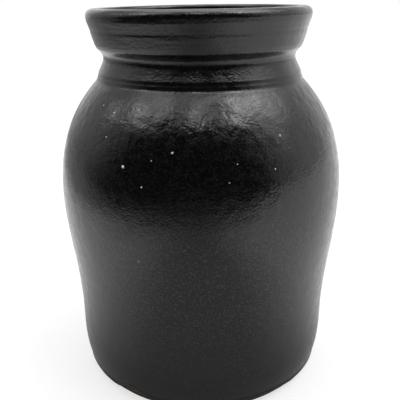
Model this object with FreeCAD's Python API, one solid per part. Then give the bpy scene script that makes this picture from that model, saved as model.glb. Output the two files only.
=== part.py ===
import FreeCAD, Part
import math
import os

# A wheel-thrown stoneware bean pot, open at the top, with a collar that holds a seat for a lid.
# Each piece is a half outline, drawn as (radius, height) and turned once about Z. Millimetres.
# Sizes are those of the finished, glazed surface, unless they name the clay.

# Foot, and the edge of the glaze just above it
FOOT_RADIUS = 61.4
FOOT_WIDTH = 9.0
FOOT_RECESS = 1.6
GLAZE_LINE_RISE = 3.2
GLAZE_LINE_RADIUS = 64.7

# Body: each rise is the height above the station before it
HEEL_RISE = 6.8
HEEL_RADIUS = 66.3
WAIST_RISE = 24.0
WAIST_RADIUS = 67.8
FLARE_RISE = 28.0
FLARE_RADIUS = 70.1
BELLY_RISE = 32.0
BELLY_RADIUS = 73.2
ROUND_RISE = 28.0
ROUND_RADIUS = 70.7
SHOULDER_RISE = 20.0
SHOULDER_RADIUS = 62.9
NECK_FOOT_RISE = 14.0
HEEL_LEAN = 10.0
SHOULDER_LEAN = 43.0

# Lid seat inside the collar, and the throat below it
SEAT_RADIUS = 47.5
SEAT_DEPTH = 13.7
SEAT_FLARE_DEPTH = 5.9
SEAT_LEDGE = 5.1
SEAT_CORNER_ROUND = 1.2
THROAT_EDGE_ROUND = 1.8
THROAT_LENGTH = 16.8

# Two steps turned in the foot of the neck, each a short wall with a sloped ledge above it
STEP_RISE = 1.7
STEP_LEAN = 5.0
LOWER_LEDGE_RISE = 0.6
UPPER_LEDGE_RISE = 1.6
LEDGE_LEAN = 52.0

# Neck, up to the turn under the collar
NECK_WALL = 4.7
NECK_RISE = 5.8
NECK_LEAN = 18.0
NECK_ROUND = 4.0

# Collar, and the steeper lip above it
COLLAR_WALL = 4.1
UNDERCUT_RISE = 3.9
COLLAR_EDGE_ROUND = 5.0
COLLAR_HEIGHT = 12.7
COLLAR_LEAN = 15.0
LIP_HEIGHT = 6.5
LIP_LEAN = 8.0
LIP_OUTER_ROUND = 3.3
LIP_INNER_ROUND = 2.0
LIP_LAND = 2.2

# Clay walls and the fired coats of glaze
CLAY_WALL = 7.0
CLAY_FLOOR = 7.0
INNER_CORNER_ROUND = 15.0
GLAZE_THICKNESS = 0.6


def at(radius, height):
    """A point of the half outline."""
    return FreeCAD.Vector(radius, 0, height)


def heading(lean):
    """The way up the outline, leaning outward by so many degrees."""
    return at(math.sin(math.radians(lean)), math.cos(math.radians(lean)))


def left_of(way):
    """The way to the left, which is into the clay on every outline below."""
    return at(-way.z, way.x)


def line(start, end):
    return Part.LineSegment(start, end).toShape()


def smooth(points, start_way, end_way):
    """One smooth curve through the points, which leaves and arrives the given ways."""
    curve = Part.BSplineCurve()
    curve.interpolate(Points=points, InitialTangent=start_way, FinalTangent=end_way)
    return curve.toShape()


def rounded_run(corners):
    """Straight runs through (point, rounding) corners, with an arc where the rounding is not zero."""
    edges = []
    last = corners[0][0]
    for (before, _), (point, rounding), (after, _) in zip(corners, corners[1:], corners[2:]):
        back = (before - point).normalize()
        ahead = (after - point).normalize()
        half = back.getAngle(ahead) / 2
        arc_start = point + back * (rounding / math.tan(half))
        arc_end = point + ahead * (rounding / math.tan(half))
        edges.append(line(last, arc_start))
        if rounding:
            arc_middle = point + (back + ahead).normalize() * (rounding / math.sin(half) - rounding)
            edges.append(Part.Arc(arc_start, arc_middle, arc_end).toShape())
        last = arc_end
    edges.append(line(last, corners[-1][0]))
    return edges


def inset_run(corners, depth):
    """The same run moved into the clay by a depth, with its roundings kept concentric."""
    points = [point for point, _ in corners]
    ways = [(after - before).normalize() for before, after in zip(points, points[1:])]
    moved = [(points[0] + left_of(ways[0]) * depth, 0)]
    for (point, rounding), way_in, way_out in zip(corners[1:], ways, ways[1:]):
        square = (left_of(way_in) + left_of(way_out)).normalize()
        turns_into_clay = left_of(way_in).dot(way_out) > 0
        if rounding:
            rounding += -depth if turns_into_clay else depth
        moved.append((point + square * (depth / square.dot(left_of(way_in))), rounding))
    moved.append((points[-1] + left_of(ways[-1]) * depth, 0))
    return moved


def body_stations():
    """The points that the outside of the body passes through, from the glaze line to the shoulder."""
    steps = [
        (GLAZE_LINE_RADIUS, GLAZE_LINE_RISE),
        (HEEL_RADIUS, HEEL_RISE),
        (WAIST_RADIUS, WAIST_RISE),
        (FLARE_RADIUS, FLARE_RISE),
        (BELLY_RADIUS, BELLY_RISE),
        (ROUND_RADIUS, ROUND_RISE),
        (SHOULDER_RADIUS, SHOULDER_RISE),
    ]
    stations = []
    height = 0
    for radius, rise in steps:
        height += rise
        stations.append(at(radius, height))
    return stations


def climbed(start, rise, lean):
    """The end of a straight run from start, with so much rise, leaning outward by so many degrees."""
    return start + heading(lean) * (rise / heading(lean).z)


def collar_corners():
    """The corners of the outside, from the foot of the neck up to the crest of the lip."""
    runs = [
        (STEP_RISE, -STEP_LEAN),
        (LOWER_LEDGE_RISE, -LEDGE_LEAN),
        (STEP_RISE, -STEP_LEAN),
        (UPPER_LEDGE_RISE, -LEDGE_LEAN),
        (NECK_RISE, -NECK_LEAN),
    ]
    neck_foot_height = body_stations()[-1].z + NECK_FOOT_RISE
    neck = at(SEAT_RADIUS - SEAT_LEDGE + NECK_WALL, neck_foot_height + sum(rise for rise, _ in runs))
    steps = [neck]
    for rise, lean in reversed(runs):
        steps.insert(0, climbed(steps[0], -rise, lean))
    collar_bottom = at(SEAT_RADIUS + COLLAR_WALL, neck.z + UNDERCUT_RISE)
    lip_foot = climbed(collar_bottom, COLLAR_HEIGHT, COLLAR_LEAN)
    lip = climbed(lip_foot, LIP_HEIGHT, LIP_LEAN)
    lip_half_turn = math.radians(90 + LIP_LEAN) / 2
    crest = lip - at(LIP_OUTER_ROUND * math.tan(lip_half_turn) + LIP_LAND / 2, 0)
    return [(step, 0) for step in steps[:-1]] + [
        (neck, NECK_ROUND),
        (collar_bottom, COLLAR_EDGE_ROUND),
        (lip_foot, 0),
        (lip, LIP_OUTER_ROUND),
        (crest, 0),
    ]


def throat_corners():
    """The corners of the inside, from the crest of the lip down past the lid seat to the throat's end."""
    crest = collar_corners()[-1][0]
    lip = crest - at(LIP_LAND / 2 + LIP_INNER_ROUND, 0)
    seat_top = at(SEAT_RADIUS, crest.z - SEAT_FLARE_DEPTH)
    seat_floor = at(SEAT_RADIUS, crest.z - SEAT_DEPTH)
    throat_edge = seat_floor - at(SEAT_LEDGE, 0)
    throat_end = throat_edge - at(0, THROAT_LENGTH)
    return [
        (crest, 0),
        (lip, LIP_INNER_ROUND),
        (seat_top, 0),
        (seat_floor, SEAT_CORNER_ROUND),
        (throat_edge, THROAT_EDGE_ROUND),
        (throat_end, 0),
    ]


def moved_into_clay(stations, depth):
    """Stations of the body moved into the clay, square to the smooth curve through them."""
    neck_foot = collar_corners()[0][0]
    curve = smooth(stations + [neck_foot], heading(HEEL_LEAN), heading(-SHOULDER_LEAN)).Curve
    ways = [curve.tangent(curve.parameter(station))[0] for station in stations]
    return [station + left_of(way) * depth for station, way in zip(stations, ways)]


def outside(depth):
    """The outside, from the glaze line up to the crest, at a depth below the finished surface."""
    collar = inset_run(collar_corners(), depth)
    stations = moved_into_clay(body_stations(), depth) + [collar[0][0]]
    return [smooth(stations, heading(HEEL_LEAN), heading(-SHOULDER_LEAN))] + rounded_run(collar)


def inside(depth):
    """The inside, from the crest down to the middle of the floor, at a depth below the finished surface."""
    wall = CLAY_WALL + 2 * GLAZE_THICKNESS
    floor_height = FOOT_RECESS + CLAY_FLOOR + GLAZE_THICKNESS
    throat = inset_run(throat_corners(), depth)
    stations = body_stations()
    waist = moved_into_clay(stations, wall)[2]
    floor = inset_run([(waist, 0), (at(waist.x, floor_height), INNER_CORNER_ROUND), (at(0, floor_height), 0)], depth)
    bulge = moved_into_clay(stations, wall - depth)[3:]
    down = at(0, -1)
    belly = smooth([throat[-1][0]] + bulge[::-1] + [floor[0][0]], down, down)
    return rounded_run(throat) + [belly] + rounded_run(floor)


def turned(edges):
    """The solid that a closed half outline makes when it is turned once about the pot's axis."""
    outline = Part.Wire(Part.__sortEdges__(edges))
    return Part.Face(outline).revolve(at(0, 0), at(0, 1), 360)


def coat(surface):
    """A coat of glaze on one surface of the pot, with a square edge at each end."""
    face = surface(0)
    back = surface(GLAZE_THICKNESS)
    ends = []
    for finished, bare in ((face[0].Vertexes[0], back[0].Vertexes[0]), (face[-1].Vertexes[-1], back[-1].Vertexes[-1])):
        ends.append(line(finished.Point, bare.Point))
    return turned(face + back + ends)


def stoneware_body():
    """The thrown clay pot, bare at its foot."""
    skin = outside(GLAZE_THICKNESS) + inside(GLAZE_THICKNESS)
    foot_inner = FOOT_RADIUS - FOOT_WIDTH
    base = [
        skin[-1].Vertexes[-1].Point,
        at(0, FOOT_RECESS),
        at(foot_inner - FOOT_RECESS, FOOT_RECESS),
        at(foot_inner, 0),
        at(FOOT_RADIUS, 0),
        skin[0].Vertexes[0].Point,
    ]
    return turned(skin + [line(start, end) for start, end in zip(base, base[1:])])


NODES = {
    "stoneware_body": stoneware_body(),
    "outer_glaze": coat(outside),
    "inner_glaze": coat(inside),
}

os.makedirs("parts", exist_ok=True)
for name, shape in NODES.items():
    shape.exportStep(f"parts/{name}.step")
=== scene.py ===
"""Stoneware bean pot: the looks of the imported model, in metres, in the model's own frame."""
import math
import random

import bpy
from mathutils import Matrix, Vector, noise


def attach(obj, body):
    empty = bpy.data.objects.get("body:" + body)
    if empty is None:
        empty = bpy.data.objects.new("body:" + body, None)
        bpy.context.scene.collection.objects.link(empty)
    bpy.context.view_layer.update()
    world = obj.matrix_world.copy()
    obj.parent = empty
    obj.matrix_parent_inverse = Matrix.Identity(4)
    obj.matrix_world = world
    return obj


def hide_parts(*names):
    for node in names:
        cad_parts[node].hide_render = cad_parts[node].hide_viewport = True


MM = 0.001

# Camera, as found from the outline in the 400 x 400 photograph
CAMERA_PLACE = Vector((-0.5, -292.0, 191.3)) * MM
CAMERA_PITCH = 19.33
CAMERA_ROLL = -0.46
CAMERA_LENS = 50.4
CAMERA_SENSOR = 36.0
CAMERA_NEAR = 0.01

# Outside outline, (radius, height) in mm, from the glaze line up to the foot of the neck
GLAZE_LINE = (64.7, 3.2)
BODY_STATIONS = [
    GLAZE_LINE,
    (66.3, 10.0),
    (67.8, 34.0),
    (70.1, 62.0),
    (73.2, 94.0),
    (70.7, 122.0),
    (62.9, 142.0),
    (52.1, 156.0),
]
HEEL_LEAN = 10.0
SHOULDER_LEAN = 43.0

# Stepped foot of the neck, neck, collar and lip: (radius, height, rounding) of each corner, in mm
COLLAR_CORNERS = [
    (52.1, 156.0, 0.0),
    (51.6, 157.8, 0.3),
    (51.3, 158.45, 0.3),
    (50.95, 159.95, 0.3),
    (49.6, 162.6, 4.0),
    (47.2, 167.7, 4.3),
    (51.1, 171.6, 2.6),
    (51.9, 173.5, 4.0),
    (53.4, 178.9, 3.5),
    (53.65, 180.3, 3.5),
    (55.15, 184.9, 4.0),
    (55.9, 190.5, 3.3),
]
CREST = (51.0, 190.5)
SEAT_CORNERS = [
    (48.2, 190.5, 2.0),
    (47.5, 184.6, 2.0),
    (47.5, 176.8, 1.2),
    (42.4, 176.8, 1.8),
]
THROAT_END = (42.4, 160.0)
BELLY_INSIDE = [
    (56.9, 137.5),
    (62.9, 119.0),
    (65.0, 94.2),
    (61.9, 62.8),
    (59.6, 34.2),
]
FLOOR_HEIGHT = 9.2
FLOOR_ROUND = 15.0

# Clay below the glaze line
FOOT_RADIUS = 61.4
FOOT_INNER_RADIUS = 52.4
FOOT_RECESS = 1.6

# Thickness of a coat of glaze, in mm
GLAZE = 0.6

# How fine the meshes are: points round the pot, and mm between points along each outline
COLUMNS = 300
GLAZE_EDGE_SPACING = 0.45
BODY_SPACING = 1.3
COLLAR_SPACING = 0.6
THROAT_SPACING = 1.0
BELLY_SPACING = 1.8
FLOOR_SPACING = 1.5
ARC_SPACING = 0.45
# The glaze's back and the clay, which are hardly seen, keep one row in so many
BACK_BODY_EVERY = 4
BACK_EVERY = 2
CLAY_EVERY = 2
# A point nearer the axis than this, in mm, lies on it
ON_AXIS = 1e-6
# An edge sharper than this, in degrees, stays sharp
SHARP_ANGLE = 50

# The potter's hand, in mm: how far the lumps, rings and dimples stand out, and how fine they are. The lumps
# are less fine upwards, by a share, and the rings are less fine round the pot
LUMP_OUT = 0.25
LUMP_FINE = 0.018
LUMP_UP_SHARE = 0.8
LUMP_PATTERN = Vector((3.1, 7.7, 1.9))
RING_OUT = 0.03
RING_FINE_ROUND = 0.004
RING_FINE_UP = 0.22
DIMPLE_OUT = 0.06
DIMPLE_FINE = 0.12
# The left side is flatter, in mm: how far in, at what height, over what height, and how far left it is full
FLAT_IN = 0.9
FLAT_HEIGHT = 62.0
FLAT_OVER = 34.0
FLAT_LEFT = 73.0
# The collar is out of level: from what height and over what height in mm, how many degrees it rises to the
# right and to the back, and how many mm it stands to the left
TILT_FROM = 150.0
TILT_OVER = 20.0
TILT_RIGHT = 0.31
TILT_BACK = 0.9
SHIFT_LEFT = 0.3
# The lip sags, in mm: from what height, over what height, how far all round, how much more on the left, and
# the radius where that is full
SAG_FROM = 172.0
SAG_OVER = 18.5
SAG = 0.35
SAG_LEFT = 0.5
SAG_RADIUS = 55.0

# Lower edge of the glaze: how far its rounding reaches in mm, the degrees of its steps, and how far up the
# edge's wander is felt in mm
EDGE_ROUND = 1.0
EDGE_STEPS = (0, 20, 40, 60, 75)
EDGE_FELT = 14.0
# The bead where the glaze ran and stopped, in mm: how proud, how far up and half its width
EDGE_BEAD = (0.35, 1.5, 1.0)
# How the edge wanders: (height in mm, how fine, which pattern)
EDGE_WANDERS = [(0.9, 3, 5.0), (0.35, 14, 9.0)]
# Places where the glaze stops short: (turn from the camera's side to the right in degrees, rise in mm, half
# width in degrees)
GLAZE_GAPS = [(-33, 6.5, 6.0), (-24, 0.8, 4), (38, 0.7, 5), (118, 1.6, 9), (-150, 1.9, 6)]

# Kiln grit that shows in the photograph: (turn to the right in degrees, height in mm, radius in mm)
GRIT = [
    (-39.2, 146.3, 0.50),
    (-26.8, 147.8, 0.42),
    (-48.0, 147.8, 0.36),
    (-38.9, 136.6, 0.36),
    (-28.5, 126.2, 0.72),
    (-17.6, 129.5, 0.34),
    (-10.1, 132.7, 0.55),
    (-20.6, 118.1, 0.42),
    (-55.7, 97.5, 0.45),
    (-22.6, 83.7, 0.34),
    (31.6, 137.1, 0.55),
    (27.0, 124.7, 0.32),
    (9.6, 120.5, 0.30),
    (12.7, 127.6, 0.28),
]
# More of it round the back: how many grains, between what turns and heights, and their radii
MORE_GRIT = 46
MORE_GRIT_TURNS = (70, 300)
MORE_GRIT_HEIGHTS = (20, 152)
MORE_GRIT_RADII = (0.25, 0.3, 0.35, 0.5)
GRIT_SEED = 7
# A grain is a rough dome: its sides, the (reach, rise) of each ring and the rise of its top as shares of its
# radius, and how much its reach may be off
GRIT_SIDES = 9
GRIT_RINGS = ((1.0, -0.12), (0.82, 0.16), (0.45, 0.34))
GRIT_TOP = 0.4
GRIT_ROUGH = (0.85, 1.15)
GRIT_GREY = (0.3, 0.29, 0.27)
GRIT_WHITE = (0.85, 0.84, 0.8)
GRIT_GRAIN_SCALE = 1500
GRIT_ROUGHNESS = 0.35

# The room: its own dim light, and soft glows of (turn from the camera's side to the right, height, where it
# is full, where it ends, strength), all but the strength in degrees
ROOM_DIM = 0.04
GLOWS = [
    (97, 26, 0, 53, 0.84),
    (172, -5, 25, 65, 0.9),
    (-115, 33, 0, 51, 0.64),
    (86, 58, 0, 32, 2.0),
    (60, 62, 0, 16, 0.8),
    (-72, 58, 0, 28, 0.9),
    (-2, 67, 0, 14, 1.2),
    (0, 90, 20, 48, 0.4),
    (180, 72, 0, 34, 2.3),
    (66, 61, 2, 8, 3.5),
    (49, 55, 2, 7, 3.5),
    (90, 54, 2, 7, 3.0),
    (-4, 59, 1, 6, 4.5),
    (8, 74, 1, 6, 2.5),
    (30, 50, 1, 5, 2.2),
    (-80, 47, 1, 7, 3.5),
    (-66, 53, 1, 6, 2.5),
    (-103, 34, 1, 6, 2.5),
    (-58, 63, 1, 6, 2.5),
    (-42, 54, 1, 5, 2.0),
    (76, 25, 1, 5, 2.0),
]

# The pale sheet under the pot, in metres. All but the camera's own view of it counts as its mirror image
SHEET_HALF = 3.0
SHEET_WHITE = 0.85
SHEET_ROUGHNESS = 0.9
SHEET_SHINE = 0.1
# Painted shade: its mirror image fades towards the front, at a slant, and in part towards the left
SHEET_SLANT = 0.35
SHEET_FRONT_SHADE_FADE = (-0.54, -0.14)
SHEET_FRONT_SHADE_LEAST = 0.1
SHEET_LEFT_SHADE_FADE = (-0.5, -0.27)
SHEET_LEFT_SHADE_LEAST = 0.4
# Painted shadow: its mirror image is dimmer round a spot in front of the pot: how dim, in what shape, where
# and how far
SHEET_SHADOW = 0.455
SHEET_SHADOW_SHAPE = (2.2, 1.0, 1.0)
SHEET_SHADOW_SHIFT = (0.0, 0.12, 0.0)
SHEET_SHADOW_FADE = (0.1, 0.38)
# The share of its whiteness that shadows leave alone
SHEET_GLOW = 0.68

# Black glaze, with pale flecks that are bright in a belt round the body and faint elsewhere
GLAZE_BLACK = (0.0002, 0.0002, 0.0002)
FAINT_FLECK = (0.014, 0.0138, 0.013)
BRIGHT_FLECK = (0.042, 0.0415, 0.039)
FLECK_SCALE = 1050
# Where the belt ends at its top and starts at its bottom, in metres, and its share below that
BELT_TOP = (0.088, 0.114)
BELT_BOTTOM = (0.028, 0.062)
BELT_LEAST = 0.3
# Its shine, in patches
GLAZE_IOR = 1.54
GLAZE_ROUGHNESS = (0.12, 0.24)
PATCH_SCALE = 240
# The skin's depth outside and inside, in metres. Its rings, waves and peel are so many times as deep
OUTER_SKIN = 0.00012
INNER_SKIN = 0.00006
RING_DEPTH = 2.0
RING_SCALE = 420
RING_STRETCH = (0.1, 0.1, 1.0)
WAVE_DEPTH = 1.0
WAVE_SCALE = 200
PEEL_DEPTH = 0.9
PEEL_SCALE = 1000
# Where the waves grow on the shoulder and shrink again, and where the throwing rings start, in metres
WAVE_FROM = (0.12, 0.14)
WAVE_GROWS = 2.9
WAVE_TO = (0.153, 0.156)
WAVE_SHRINKS = 0.3
RINGS_FROM = (0.166, 0.174)
RINGS_LEAST = 0.15

# Bare clay: its two browns in clouds, its iron specks and its sand, whose depth is in metres
CLAY_DARK = (0.08, 0.05, 0.037)
CLAY_PALE = (0.16, 0.103, 0.077)
CLOUD_SCALE = 90
CLAY_ROUGHNESS = (0.7, 0.95)
IRON_SPECK = (0.03, 0.018, 0.012)
SPECK_SCALE = 900
SPECK_REACH = (0.12, 0.3)
SAND_SCALE = 1600
SAND_DEPTH = 0.00015
# Painted shade: the outer bevel of the foot is darkened for its shadow where it meets the floor: its colour,
# and the radii and heights where it fades, in metres
FOOT_SHADE = (0.012, 0.01, 0.009)
FOOT_SHADE_RADII = (0.0605, 0.062)
FOOT_SHADE_HEIGHTS = (0.003, 0.0045)


def spline(stations, start_way, end_way, spacing, first_spacing=None):
    """Points along a smooth curve through the stations, which leaves and arrives the given ways."""
    knots = [Vector(s) for s in stations]
    lengths = [(b - a).length for a, b in zip(knots, knots[1:])]
    count = len(knots)
    # The slopes of a curve with an even bend follow from one equation per inner station
    lower, middle, upper, right = [0.0], [1.0], [0.0], [Vector(start_way).normalized()]
    for i in range(1, count - 1):
        a, b = lengths[i - 1], lengths[i]
        lower.append(b)
        middle.append(2 * (a + b))
        upper.append(a)
        right.append(3 * (b * (knots[i] - knots[i - 1]) / a + a * (knots[i + 1] - knots[i]) / b))
    lower.append(0.0)
    middle.append(1.0)
    upper.append(0.0)
    right.append(Vector(end_way).normalized())
    for i in range(1, count):
        factor = lower[i] / middle[i - 1]
        middle[i] -= factor * upper[i - 1]
        right[i] -= factor * right[i - 1]
    slopes = [None] * count
    slopes[-1] = right[-1] / middle[-1]
    for i in range(count - 2, -1, -1):
        slopes[i] = (right[i] - upper[i] * slopes[i + 1]) / middle[i]
    points = []
    for i in range(count - 1):
        span = lengths[i]
        steps = max(2, round(span / (first_spacing if first_spacing and i == 0 else spacing)))
        for k in range(steps):
            t = k / steps
            points.append(
                knots[i] * (2 * t**3 - 3 * t**2 + 1)
                + knots[i + 1] * (3 * t**2 - 2 * t**3)
                + slopes[i] * span * (t**3 - 2 * t**2 + t)
                + slopes[i + 1] * span * (t**3 - t**2)
            )
    return points + [knots[-1]]


def straight(start, end, spacing):
    """Points from start to end, without the end."""
    start, end = Vector(start), Vector(end)
    steps = max(1, round((end - start).length / spacing))
    return [start.lerp(end, k / steps) for k in range(steps)]


def rounded(start, corners, end, spacing):
    """Points along straight runs from start to end with an arc at each corner between them."""
    points = []
    last = Vector(start)
    spots = [last] + [Vector(c[:2]) for c in corners] + [Vector(end)]
    for before, spot, after, corner in zip(spots, spots[1:], spots[2:], corners):
        rounding = corner[2]
        back = (before - spot).normalized()
        ahead = (after - spot).normalized()
        half = math.acos(max(-1.0, min(1.0, back.dot(ahead)))) / 2
        reach = rounding / math.tan(half)
        points += straight(last, spot + back * reach, spacing)
        if rounding:
            centre = spot + (back + ahead).normalized() * (rounding / math.sin(half))
            first = spot + back * reach - centre
            final = spot + ahead * reach - centre
            turn = first.angle_signed(final)
            steps = max(3, round(abs(turn) * rounding / min(spacing, ARC_SPACING)))
            for k in range(steps):
                angle = -turn * k / steps
                points.append(centre + Matrix.Rotation(angle, 2) @ first)
        last = spot + ahead * reach
    return points + straight(last, spots[-1], spacing) + [spots[-1]]


def lean(degrees):
    """The way up an outline that leans outward by so many degrees."""
    return (math.sin(math.radians(degrees)), math.cos(math.radians(degrees)))


def inside_outline():
    """The finished inside, from the crest of the lip down to the middle of the floor."""
    down = (0, -1)
    throat = rounded(CREST, SEAT_CORNERS, THROAT_END, THROAT_SPACING)
    belly = spline([THROAT_END] + BELLY_INSIDE, down, down, BELLY_SPACING)
    wall = BELLY_INSIDE[-1]
    floor_corner = (wall[0], FLOOR_HEIGHT, FLOOR_ROUND)
    bottom = rounded(wall, [floor_corner], (0.0, FLOOR_HEIGHT), FLOOR_SPACING)
    return throat[:-1] + belly[:-1] + bottom


def normals_of(outline):
    """The way out of the clay at each point of an outline that keeps the clay on its left."""
    out = []
    for i in range(len(outline)):
        ahead = outline[min(i + 1, len(outline) - 1)] - outline[max(i - 1, 0)]
        out.append(Vector((ahead.y, -ahead.x)).normalized())
    return out


def moved_in(outline, depth):
    """The same outline, moved into the clay by a depth."""
    return [p - n * depth for p, n in zip(outline, normals_of(outline))]


def outline_radius(height):
    """The radius of the body's outside at a height near the foot, in mm."""
    for low, high in zip(body_outline, body_outline[1:]):
        if high.y >= height:
            break
    return low.x + (high.x - low.x) * (height - low.y) / (high.y - low.y)


def edge_rise(turn):
    """How far the lower edge of the glaze stands above its mean height, in mm, at a turn from +X."""
    rise = 0.0
    for height, fine, pattern in EDGE_WANDERS:
        rise += height * noise.noise(Vector((fine * math.cos(turn), fine * math.sin(turn), pattern)))
    for right, height, width in GLAZE_GAPS:
        away = math.remainder(turn - math.radians(right - 90), 2 * math.pi)
        rise += height * math.exp(-((away / math.radians(width)) ** 2))
    return rise


def hand_made(place, way):
    """Where the potter's hand and the kiln left a point of the wall: mm in, mm out."""
    x, y, z = place
    lump = LUMP_OUT * noise.noise(Vector((x, y, z * LUMP_UP_SHARE)) * LUMP_FINE + LUMP_PATTERN)
    ring = RING_OUT * noise.noise(Vector((x * RING_FINE_ROUND, y * RING_FINE_ROUND, z * RING_FINE_UP)))
    dimple = DIMPLE_OUT * noise.noise(Vector((x, y, z)) * DIMPLE_FINE)
    left = max(0.0, -x / FLAT_LEFT)
    flat = FLAT_IN * left**3 * math.exp(-(((z - FLAT_HEIGHT) / FLAT_OVER) ** 2))
    place = place + way * (lump + ring + dimple - flat)
    share = max(0.0, min(1.0, (z - TILT_FROM) / TILT_OVER))
    share = share * share * (3 - 2 * share)
    tilt = place.x * math.tan(math.radians(TILT_RIGHT)) + place.y * math.tan(math.radians(TILT_BACK))
    place.z += share * tilt
    leftward = (1 - x / SAG_RADIUS) / 2
    place.z -= max(0.0, (z - SAG_FROM) / SAG_OVER) * (SAG + SAG_LEFT * leftward**2)
    place.x -= share * SHIFT_LEFT
    return place


def turned_place(point, way, rough, turn, edge):
    """The place in mm of a point of the outline at a turn from +X."""
    radius, height = point
    if edge and height < GLAZE_LINE[1] + EDGE_FELT:
        above = height - GLAZE_LINE[1]
        raised = height + edge_rise(turn) * (1 - above / EDGE_FELT) ** 2
        proud, bead_rise, bead_width = EDGE_BEAD
        radius += outline_radius(raised) - outline_radius(height)
        radius += proud * math.exp(-(((above - bead_rise) / bead_width) ** 2))
        height = raised
    cos, sin = math.cos(turn), math.sin(turn)
    place = Vector((radius * cos, radius * sin, height))
    out = Vector((way.x * cos, way.x * sin, way.y))
    return hand_made(place, out * rough)


def new_piece(name, verts, faces, material):
    """A smooth mesh of points in mm, with its material."""
    mesh = bpy.data.meshes.new(name)
    mesh.from_pydata([v * MM for v in verts], [], faces)
    mesh.validate()
    mesh.shade_smooth()
    mesh.set_sharp_from_angle(angle=math.radians(SHARP_ANGLE))
    mesh.materials.append(material)
    piece = bpy.data.objects.new(name, mesh)
    bpy.context.collection.objects.link(piece)
    return piece


def lathe(name, rows, material, closed, edge=False):
    """A mesh of the rows turned about Z, where a row on the axis becomes one point.

    A row is (point of the outline, way out of the clay, share of the potter's hand).
    """
    verts, rings = [], []
    for point, way, rough in rows:
        start = len(verts)
        if point.x < ON_AXIS:
            verts.append(Vector((0, 0, point.y)))
            rings.append([start] * COLUMNS)
            continue
        for c in range(COLUMNS):
            verts.append(turned_place(point, way, rough, 2 * math.pi * c / COLUMNS, edge))
        rings.append(list(range(start, start + COLUMNS)))
    faces = []
    pairs = list(zip(rings, rings[1:]))
    if closed:
        pairs.append((rings[-1], rings[0]))
    for low, high in pairs:
        for c in range(COLUMNS):
            d = (c + 1) % COLUMNS
            unique = list(dict.fromkeys([low[c], low[d], high[d], high[c]]))
            if len(unique) > 2:
                faces.append(unique)
    return new_piece(name, verts, faces, material)


def coat_rows(outline, depth, body_rows):
    """The finished surface with the maker's hand in it, and its back against the clay with fewer rows."""
    ways = normals_of(outline)
    back = list(zip(moved_in(outline, depth), ways))
    thinned = back[:body_rows:BACK_BODY_EVERY] + back[body_rows::BACK_EVERY]
    if (len(back) - 1 - body_rows) % BACK_EVERY:
        thinned.append(back[-1])
    return [(p, n, 1.0) for p, n in zip(outline, ways)] + [(p, n, 1.0) for p, n in thinned[::-1]]


def rolled_edge(rows):
    """The same rows with the lower edge of the glaze rounded over, from its back to its front."""
    first, way, rough = rows[0]
    up = Vector((-way.y, way.x))
    edge = []
    for degrees in EDGE_STEPS:
        angle = math.radians(degrees)
        step = up * (EDGE_ROUND * (1 - math.cos(angle))) - way * (GLAZE * (1 - math.sin(angle)))
        edge.append((first + step, way, rough))
    return edge + rows[1:]


def grit_piece(material):
    """Low domes of fired grit, half sunk in the glaze, on the outside of the body."""
    dice = random.Random(GRIT_SEED)
    spots = list(GRIT)
    for _ in range(MORE_GRIT):
        right = dice.uniform(*MORE_GRIT_TURNS)
        height = dice.uniform(*MORE_GRIT_HEIGHTS)
        spots.append((right, height, dice.choice(MORE_GRIT_RADII)))
    ways = normals_of(body_outline)
    verts, faces = [], []
    sides = GRIT_SIDES
    for right, height, radius in spots:
        turn = math.radians(right - 90)
        near = min(range(len(body_outline)), key=lambda i: abs(body_outline[i].y - height))
        point, way = body_outline[near], ways[near]
        centre = turned_place(point, way, 1.0, turn, False)
        out = Vector((way.x * math.cos(turn), way.x * math.sin(turn), way.y))
        across = Vector((-math.sin(turn), math.cos(turn), 0))
        up = out.cross(across)
        start = len(verts)
        for share, rise in GRIT_RINGS:
            for k in range(sides):
                angle = 2 * math.pi * k / sides
                reach = radius * share * dice.uniform(*GRIT_ROUGH)
                side = across * math.cos(angle) + up * math.sin(angle)
                verts.append(centre + side * reach + out * (rise * radius))
        verts.append(centre + out * (GRIT_TOP * radius))
        for _ in GRIT_RINGS[1:]:
            for k in range(sides):
                a, b = start + k, start + (k + 1) % sides
                faces.append([a, b, b + sides, a + sides])
            start += sides
        for k in range(sides):
            faces.append([start + k, start + (k + 1) % sides, start + sides])
    return new_piece("kiln_grit", verts, faces, material)


def new_material(name):
    """A material with its nodes, its links and its main shader."""
    material = bpy.data.materials.new(name)
    material.use_nodes = True
    nodes = material.node_tree.nodes
    return material, nodes, material.node_tree.links, nodes["Principled BSDF"]


def math_node(nodes, links, operation, *values):
    """A Math node, whose inputs are numbers or other nodes' outputs."""
    node = nodes.new("ShaderNodeMath")
    node.operation = operation
    for socket, value in zip(node.inputs, values):
        if isinstance(value, (int, float)):
            socket.default_value = value
        else:
            links.new(value, socket)
    return node.outputs[0]


def fade(nodes, links, value, start, end, low, high):
    """A smooth step from low to high as the value goes from start to end."""
    node = nodes.new("ShaderNodeMapRange")
    node.interpolation_type = "SMOOTHSTEP"
    links.new(value, node.inputs["Value"])
    for socket, number in (("From Min", start), ("From Max", end), ("To Min", low), ("To Max", high)):
        node.inputs[socket].default_value = number
    return node.outputs["Result"]


def blend(nodes, links, share, low, high):
    """A number from low to high by a share; each may be another node's output."""
    node = nodes.new("ShaderNodeMix")
    node.data_type = "FLOAT"
    for socket, value in (("Factor", share), ("A", low), ("B", high)):
        if isinstance(value, (int, float)):
            node.inputs[socket].default_value = value
        else:
            links.new(value, node.inputs[socket])
    return node.outputs["Result"]


def ramp(nodes, links, value, *stops):
    """A colour that follows (position, colour) stops."""
    node = nodes.new("ShaderNodeValToRGB")
    elements = node.color_ramp.elements
    for extra in stops[2:]:
        elements.new(extra[0])
    for element, (position, colour) in zip(elements, sorted(stops)):
        element.position = position
        element.color = (*colour, 1)
    links.new(value, node.inputs["Fac"])
    return node.outputs["Color"]


def separate(nodes, links, place):
    """A node that gives X, Y and Z of a place."""
    node = nodes.new("ShaderNodeSeparateXYZ")
    links.new(place, node.inputs[0])
    return node


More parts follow.
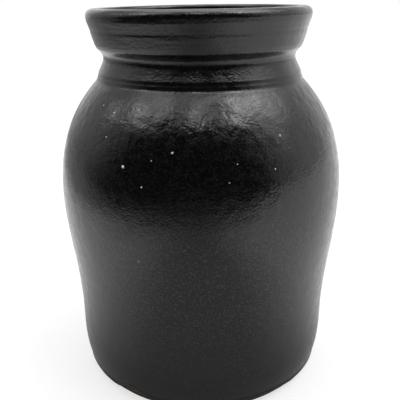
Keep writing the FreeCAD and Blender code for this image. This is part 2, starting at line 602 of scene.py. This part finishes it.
def colour_mix(nodes, links, share, low, high):
    """A colour from low to high by a share; each may be a colour or another node's output."""
    node = nodes.new("ShaderNodeMix")
    node.data_type = "RGBA"
    links.new(share, node.inputs["Factor"])
    for socket, value in ((node.inputs[6], low), (node.inputs[7], high)):
        if isinstance(value, tuple):
            socket.default_value = (*value, 1)
        else:
            links.new(value, socket)
    return node.outputs[2]


def stretched_length(nodes, links, place, shape, shift):
    """How far a place is from the middle once it is stretched by a shape and then shifted."""
    moved = nodes.new("ShaderNodeVectorMath")
    moved.operation = "MULTIPLY_ADD"
    links.new(place, moved.inputs[0])
    moved.inputs[1].default_value = shape
    moved.inputs[2].default_value = shift
    length = nodes.new("ShaderNodeVectorMath")
    length.operation = "LENGTH"
    links.new(moved.outputs[0], length.inputs[0])
    return length.outputs["Value"]


def noise_node(nodes, links, place, scale, detail, rough=0.5):
    """A soft random number from 0 to 1 that changes from place to place."""
    node = nodes.new("ShaderNodeTexNoise")
    node.inputs["Scale"].default_value = scale
    node.inputs["Detail"].default_value = detail
    node.inputs["Roughness"].default_value = rough
    links.new(place, node.inputs["Vector"])
    return node.outputs["Fac"]


def bump_node(nodes, links, height, distance, below=None):
    """A bump of the given metres, on top of the bump below it."""
    node = nodes.new("ShaderNodeBump")
    node.inputs["Distance"].default_value = distance
    links.new(height, node.inputs["Height"])
    if below:
        links.new(below, node.inputs["Normal"])
    return node.outputs["Normal"]


def glaze_material(name, skin):
    """Black glaze with a fine orange-peel skin, dull and shiny patches, and pale flecks."""
    material, nodes, links, shader = new_material(name)
    place = nodes.new("ShaderNodeTexCoord").outputs["Object"]
    height = separate(nodes, links, place).outputs["Z"]
    shader.inputs["IOR"].default_value = GLAZE_IOR

    # Pale flecks, brighter in the belt
    fleck = noise_node(nodes, links, place, FLECK_SCALE, 2, 0.6)
    faint = ramp(nodes, links, fleck, (0.5, GLAZE_BLACK), (0.7, FAINT_FLECK))
    bright = ramp(nodes, links, fleck, (0.48, GLAZE_BLACK), (0.7, BRIGHT_FLECK))
    belt = fade(nodes, links, height, *BELT_TOP, 1.0, 0.0)
    belt_foot = fade(nodes, links, height, *BELT_BOTTOM, BELT_LEAST, 1.0)
    belt = math_node(nodes, links, "MULTIPLY", belt, belt_foot)
    links.new(colour_mix(nodes, links, belt, faint, bright), shader.inputs["Base Color"])

    # Dull and shiny patches
    patch = noise_node(nodes, links, place, PATCH_SCALE, 3)
    links.new(fade(nodes, links, patch, 0.35, 0.65, *GLAZE_ROUGHNESS), shader.inputs["Roughness"])

    # Throwing rings, mostly on the collar, waves of the glaze, and the peel on top of them
    stretch = nodes.new("ShaderNodeVectorMath")
    stretch.operation = "MULTIPLY"
    links.new(place, stretch.inputs[0])
    stretch.inputs[1].default_value = RING_STRETCH
    rings = noise_node(nodes, links, stretch.outputs[0], RING_SCALE, 2)
    rings_share = fade(nodes, links, height, *RINGS_FROM, RINGS_LEAST, 1.0)
    rings = math_node(nodes, links, "MULTIPLY", rings, rings_share)
    wave = noise_node(nodes, links, place, WAVE_SCALE, 1)
    for span, growth in ((WAVE_FROM, WAVE_GROWS), (WAVE_TO, WAVE_SHRINKS)):
        wave_share = fade(nodes, links, height, *span, 1.0, growth)
        wave = math_node(nodes, links, "MULTIPLY", wave, wave_share)
    peel = noise_node(nodes, links, place, PEEL_SCALE, 1)
    normal = None
    for pattern, depth in ((rings, RING_DEPTH), (wave, WAVE_DEPTH), (peel, PEEL_DEPTH)):
        normal = bump_node(nodes, links, pattern, skin * depth, normal)
    links.new(normal, shader.inputs["Normal"])
    return material


def clay_material():
    """Bare fired stoneware: warm brown, sandy, with dark iron specks, and painted shade on the foot's outer
    bevel.
    """
    material, nodes, links, shader = new_material("bare_stoneware")
    place = nodes.new("ShaderNodeTexCoord").outputs["Object"]
    cloud = noise_node(nodes, links, place, CLOUD_SCALE, 4)
    tone = ramp(nodes, links, cloud, (0.3, CLAY_DARK), (0.7, CLAY_PALE))
    speck = nodes.new("ShaderNodeTexVoronoi")
    speck.inputs["Scale"].default_value = SPECK_SCALE
    links.new(place, speck.inputs["Vector"])
    dark = fade(nodes, links, speck.outputs["Distance"], *SPECK_REACH, 1.0, 0.0)
    tone = colour_mix(nodes, links, dark, tone, IRON_SPECK)
    # Painted shade on the outer bevel of the foot, where it meets the floor
    radius = stretched_length(nodes, links, place, (1, 1, 0), (0, 0, 0))
    height = separate(nodes, links, place).outputs["Z"]
    far_out = fade(nodes, links, radius, *FOOT_SHADE_RADII, 0.0, 1.0)
    low = fade(nodes, links, height, *FOOT_SHADE_HEIGHTS, 1.0, 0.0)
    foot_shade = math_node(nodes, links, "MULTIPLY", far_out, low)
    links.new(colour_mix(nodes, links, foot_shade, tone, FOOT_SHADE), shader.inputs["Base Color"])
    links.new(fade(nodes, links, cloud, 0.3, 0.7, *CLAY_ROUGHNESS), shader.inputs["Roughness"])
    sand = noise_node(nodes, links, place, SAND_SCALE, 3, 0.7)
    links.new(bump_node(nodes, links, sand, SAND_DEPTH), shader.inputs["Normal"])
    return material


def grit_material():
    """Pale fired grit, mottled grey to white."""
    material, nodes, links, shader = new_material("fired_grit")
    place = nodes.new("ShaderNodeTexCoord").outputs["Object"]
    grain = noise_node(nodes, links, place, GRIT_GRAIN_SCALE, 2)
    tone = ramp(nodes, links, grain, (0.3, GRIT_GREY), (0.6, GRIT_WHITE))
    links.new(tone, shader.inputs["Base Color"])
    shader.inputs["Roughness"].default_value = GRIT_ROUGHNESS
    return material


def floor():
    """A pale sheet that the pot stands on: plain white to the camera, with painted shade here and there in
    its mirror image in the glaze.
    """
    mesh = bpy.data.meshes.new("floor")
    signs = ((-1, -1), (1, -1), (1, 1), (-1, 1))
    mesh.from_pydata([(x * SHEET_HALF, y * SHEET_HALF, 0) for x, y in signs], [], [(0, 1, 2, 3)])
    piece = bpy.data.objects.new("floor", mesh)
    bpy.context.collection.objects.link(piece)
    material, nodes, links, shader = new_material("pale_floor")
    mesh.materials.append(material)
    shader.inputs["Roughness"].default_value = SHEET_ROUGHNESS
    shader.inputs["Specular IOR Level"].default_value = SHEET_SHINE
    place = nodes.new("ShaderNodeTexCoord").outputs["Object"]
    axes = separate(nodes, links, place)
    # Painted shade in the mirror image: darker towards the front and in part towards the left
    slanted = math_node(nodes, links, "MULTIPLY_ADD", axes.outputs["X"], SHEET_SLANT, axes.outputs["Y"])
    front_shade = fade(nodes, links, slanted, *SHEET_FRONT_SHADE_FADE, SHEET_FRONT_SHADE_LEAST, 1.0)
    left = fade(nodes, links, axes.outputs["X"], *SHEET_LEFT_SHADE_FADE, SHEET_LEFT_SHADE_LEAST, 1.0)
    # Painted shadow in the mirror image, round a spot in front of the pot
    away = stretched_length(nodes, links, place, SHEET_SHADOW_SHAPE, SHEET_SHADOW_SHIFT)
    near = fade(nodes, links, away, *SHEET_SHADOW_FADE, SHEET_SHADOW, 1.0)
    mirror_shaded = SHEET_WHITE
    for share in (front_shade, left, near):
        mirror_shaded = math_node(nodes, links, "MULTIPLY", mirror_shaded, share)
    seen = nodes.new("ShaderNodeLightPath").outputs["Is Camera Ray"]
    links.new(blend(nodes, links, seen, mirror_shaded, 1 - SHEET_GLOW), shader.inputs["Base Color"])
    links.new(math_node(nodes, links, "MULTIPLY", seen, SHEET_GLOW), shader.inputs["Emission Strength"])
    shader.inputs["Emission Color"].default_value = (1, 1, 1, 1)


def studio():
    """The room's soft lights, each a wide glow round one direction, and plain white behind the pot."""
    world = bpy.data.worlds.new("studio")
    bpy.context.scene.world = world
    world.use_nodes = True
    nodes, links = world.node_tree.nodes, world.node_tree.links
    way = nodes.new("ShaderNodeTexCoord").outputs["Generated"]
    light = ROOM_DIM
    for right, height, core, reach, strength in GLOWS:
        right, height = math.radians(right), math.radians(height)
        dot = nodes.new("ShaderNodeVectorMath")
        dot.operation = "DOT_PRODUCT"
        links.new(way, dot.inputs[0])
        flat = math.cos(height)
        dot.inputs[1].default_value = (flat * math.sin(right), -flat * math.cos(right), math.sin(height))
        edge, full = math.cos(math.radians(reach)), math.cos(math.radians(core))
        glow = fade(nodes, links, dot.outputs["Value"], edge, full, 0.0, strength)
        light = math_node(nodes, links, "ADD", light, glow)
    seen = nodes.new("ShaderNodeLightPath").outputs["Is Camera Ray"]
    links.new(blend(nodes, links, seen, light, 1.0), nodes["Background"].inputs["Strength"])
    nodes["Background"].inputs["Color"].default_value = (1, 1, 1, 1)


def camera():
    """The camera, at the photograph's viewing angle."""
    data = bpy.data.cameras.new("camera")
    data.lens = CAMERA_LENS
    data.sensor_width = CAMERA_SENSOR
    data.clip_start = CAMERA_NEAR
    eye = bpy.data.objects.new("camera", data)
    bpy.context.collection.objects.link(eye)
    turn = Matrix.Rotation(math.radians(90 - CAMERA_PITCH), 4, "X")
    roll = Matrix.Rotation(math.radians(CAMERA_ROLL), 4, "Z")
    eye.matrix_world = Matrix.Translation(CAMERA_PLACE) @ turn @ roll
    bpy.context.scene.camera = eye


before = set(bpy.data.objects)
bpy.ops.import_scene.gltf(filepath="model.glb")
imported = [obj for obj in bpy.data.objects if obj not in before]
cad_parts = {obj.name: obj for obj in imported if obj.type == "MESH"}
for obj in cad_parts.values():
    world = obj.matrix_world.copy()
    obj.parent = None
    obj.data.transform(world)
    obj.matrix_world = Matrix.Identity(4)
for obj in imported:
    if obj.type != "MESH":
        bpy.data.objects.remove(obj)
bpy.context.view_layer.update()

# Camera, floor and room
bpy.context.scene.view_settings.view_transform = "Standard"
camera()
floor()
studio()

# Finished outlines of the outside and the inside
heel_way, shoulder_way = lean(HEEL_LEAN), lean(-SHOULDER_LEAN)
body_outline = spline(BODY_STATIONS, heel_way, shoulder_way, BODY_SPACING, GLAZE_EDGE_SPACING)
collar_outline = rounded(COLLAR_CORNERS[0][:2], COLLAR_CORNERS[1:], CREST, COLLAR_SPACING)
outside = body_outline[:-1] + collar_outline
inside = inside_outline()

# Glaze on the outside, with its lower edge rolled over
outer_rows = rolled_edge(coat_rows(outside, GLAZE, len(body_outline)))
outer_material = glaze_material("black_glaze", OUTER_SKIN)
outer_glaze = lathe("outer_glaze_coat", outer_rows, outer_material, True, edge=True)
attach(outer_glaze, "root")
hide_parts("outer_glaze")

# Glaze on the inside
inner_rows = coat_rows(inside, GLAZE, 0)
inner_material = glaze_material("liner_glaze", INNER_SKIN)
inner_glaze = lathe("inner_glaze_coat", inner_rows, inner_material, False)
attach(inner_glaze, "root")
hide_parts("inner_glaze")

# Kiln grit on the outer glaze
grit = grit_piece(grit_material())
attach(grit, "root")

# Clay between the coats, down to the bare foot
skin = moved_in(outside, GLAZE) + moved_in(inside, GLAZE)[1:]
underside = [
    (0.0, FOOT_RECESS),
    (FOOT_INNER_RADIUS - FOOT_RECESS, FOOT_RECESS),
    (FOOT_INNER_RADIUS, 0.0),
    (FOOT_RADIUS, 0.0),
]
clay_rows = [(Vector(point), Vector((0, -1)), 0.0) for point in underside]
clay_rows += [(p, n, 1.0) for p, n in zip(skin, normals_of(skin))][::CLAY_EVERY]
clay_rows.append((Vector((0.0, skin[-1].y)), Vector((0, 1)), 1.0))
clay = lathe("clay_pot", clay_rows, clay_material(), False)
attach(clay, "root")
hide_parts("stoneware_body")
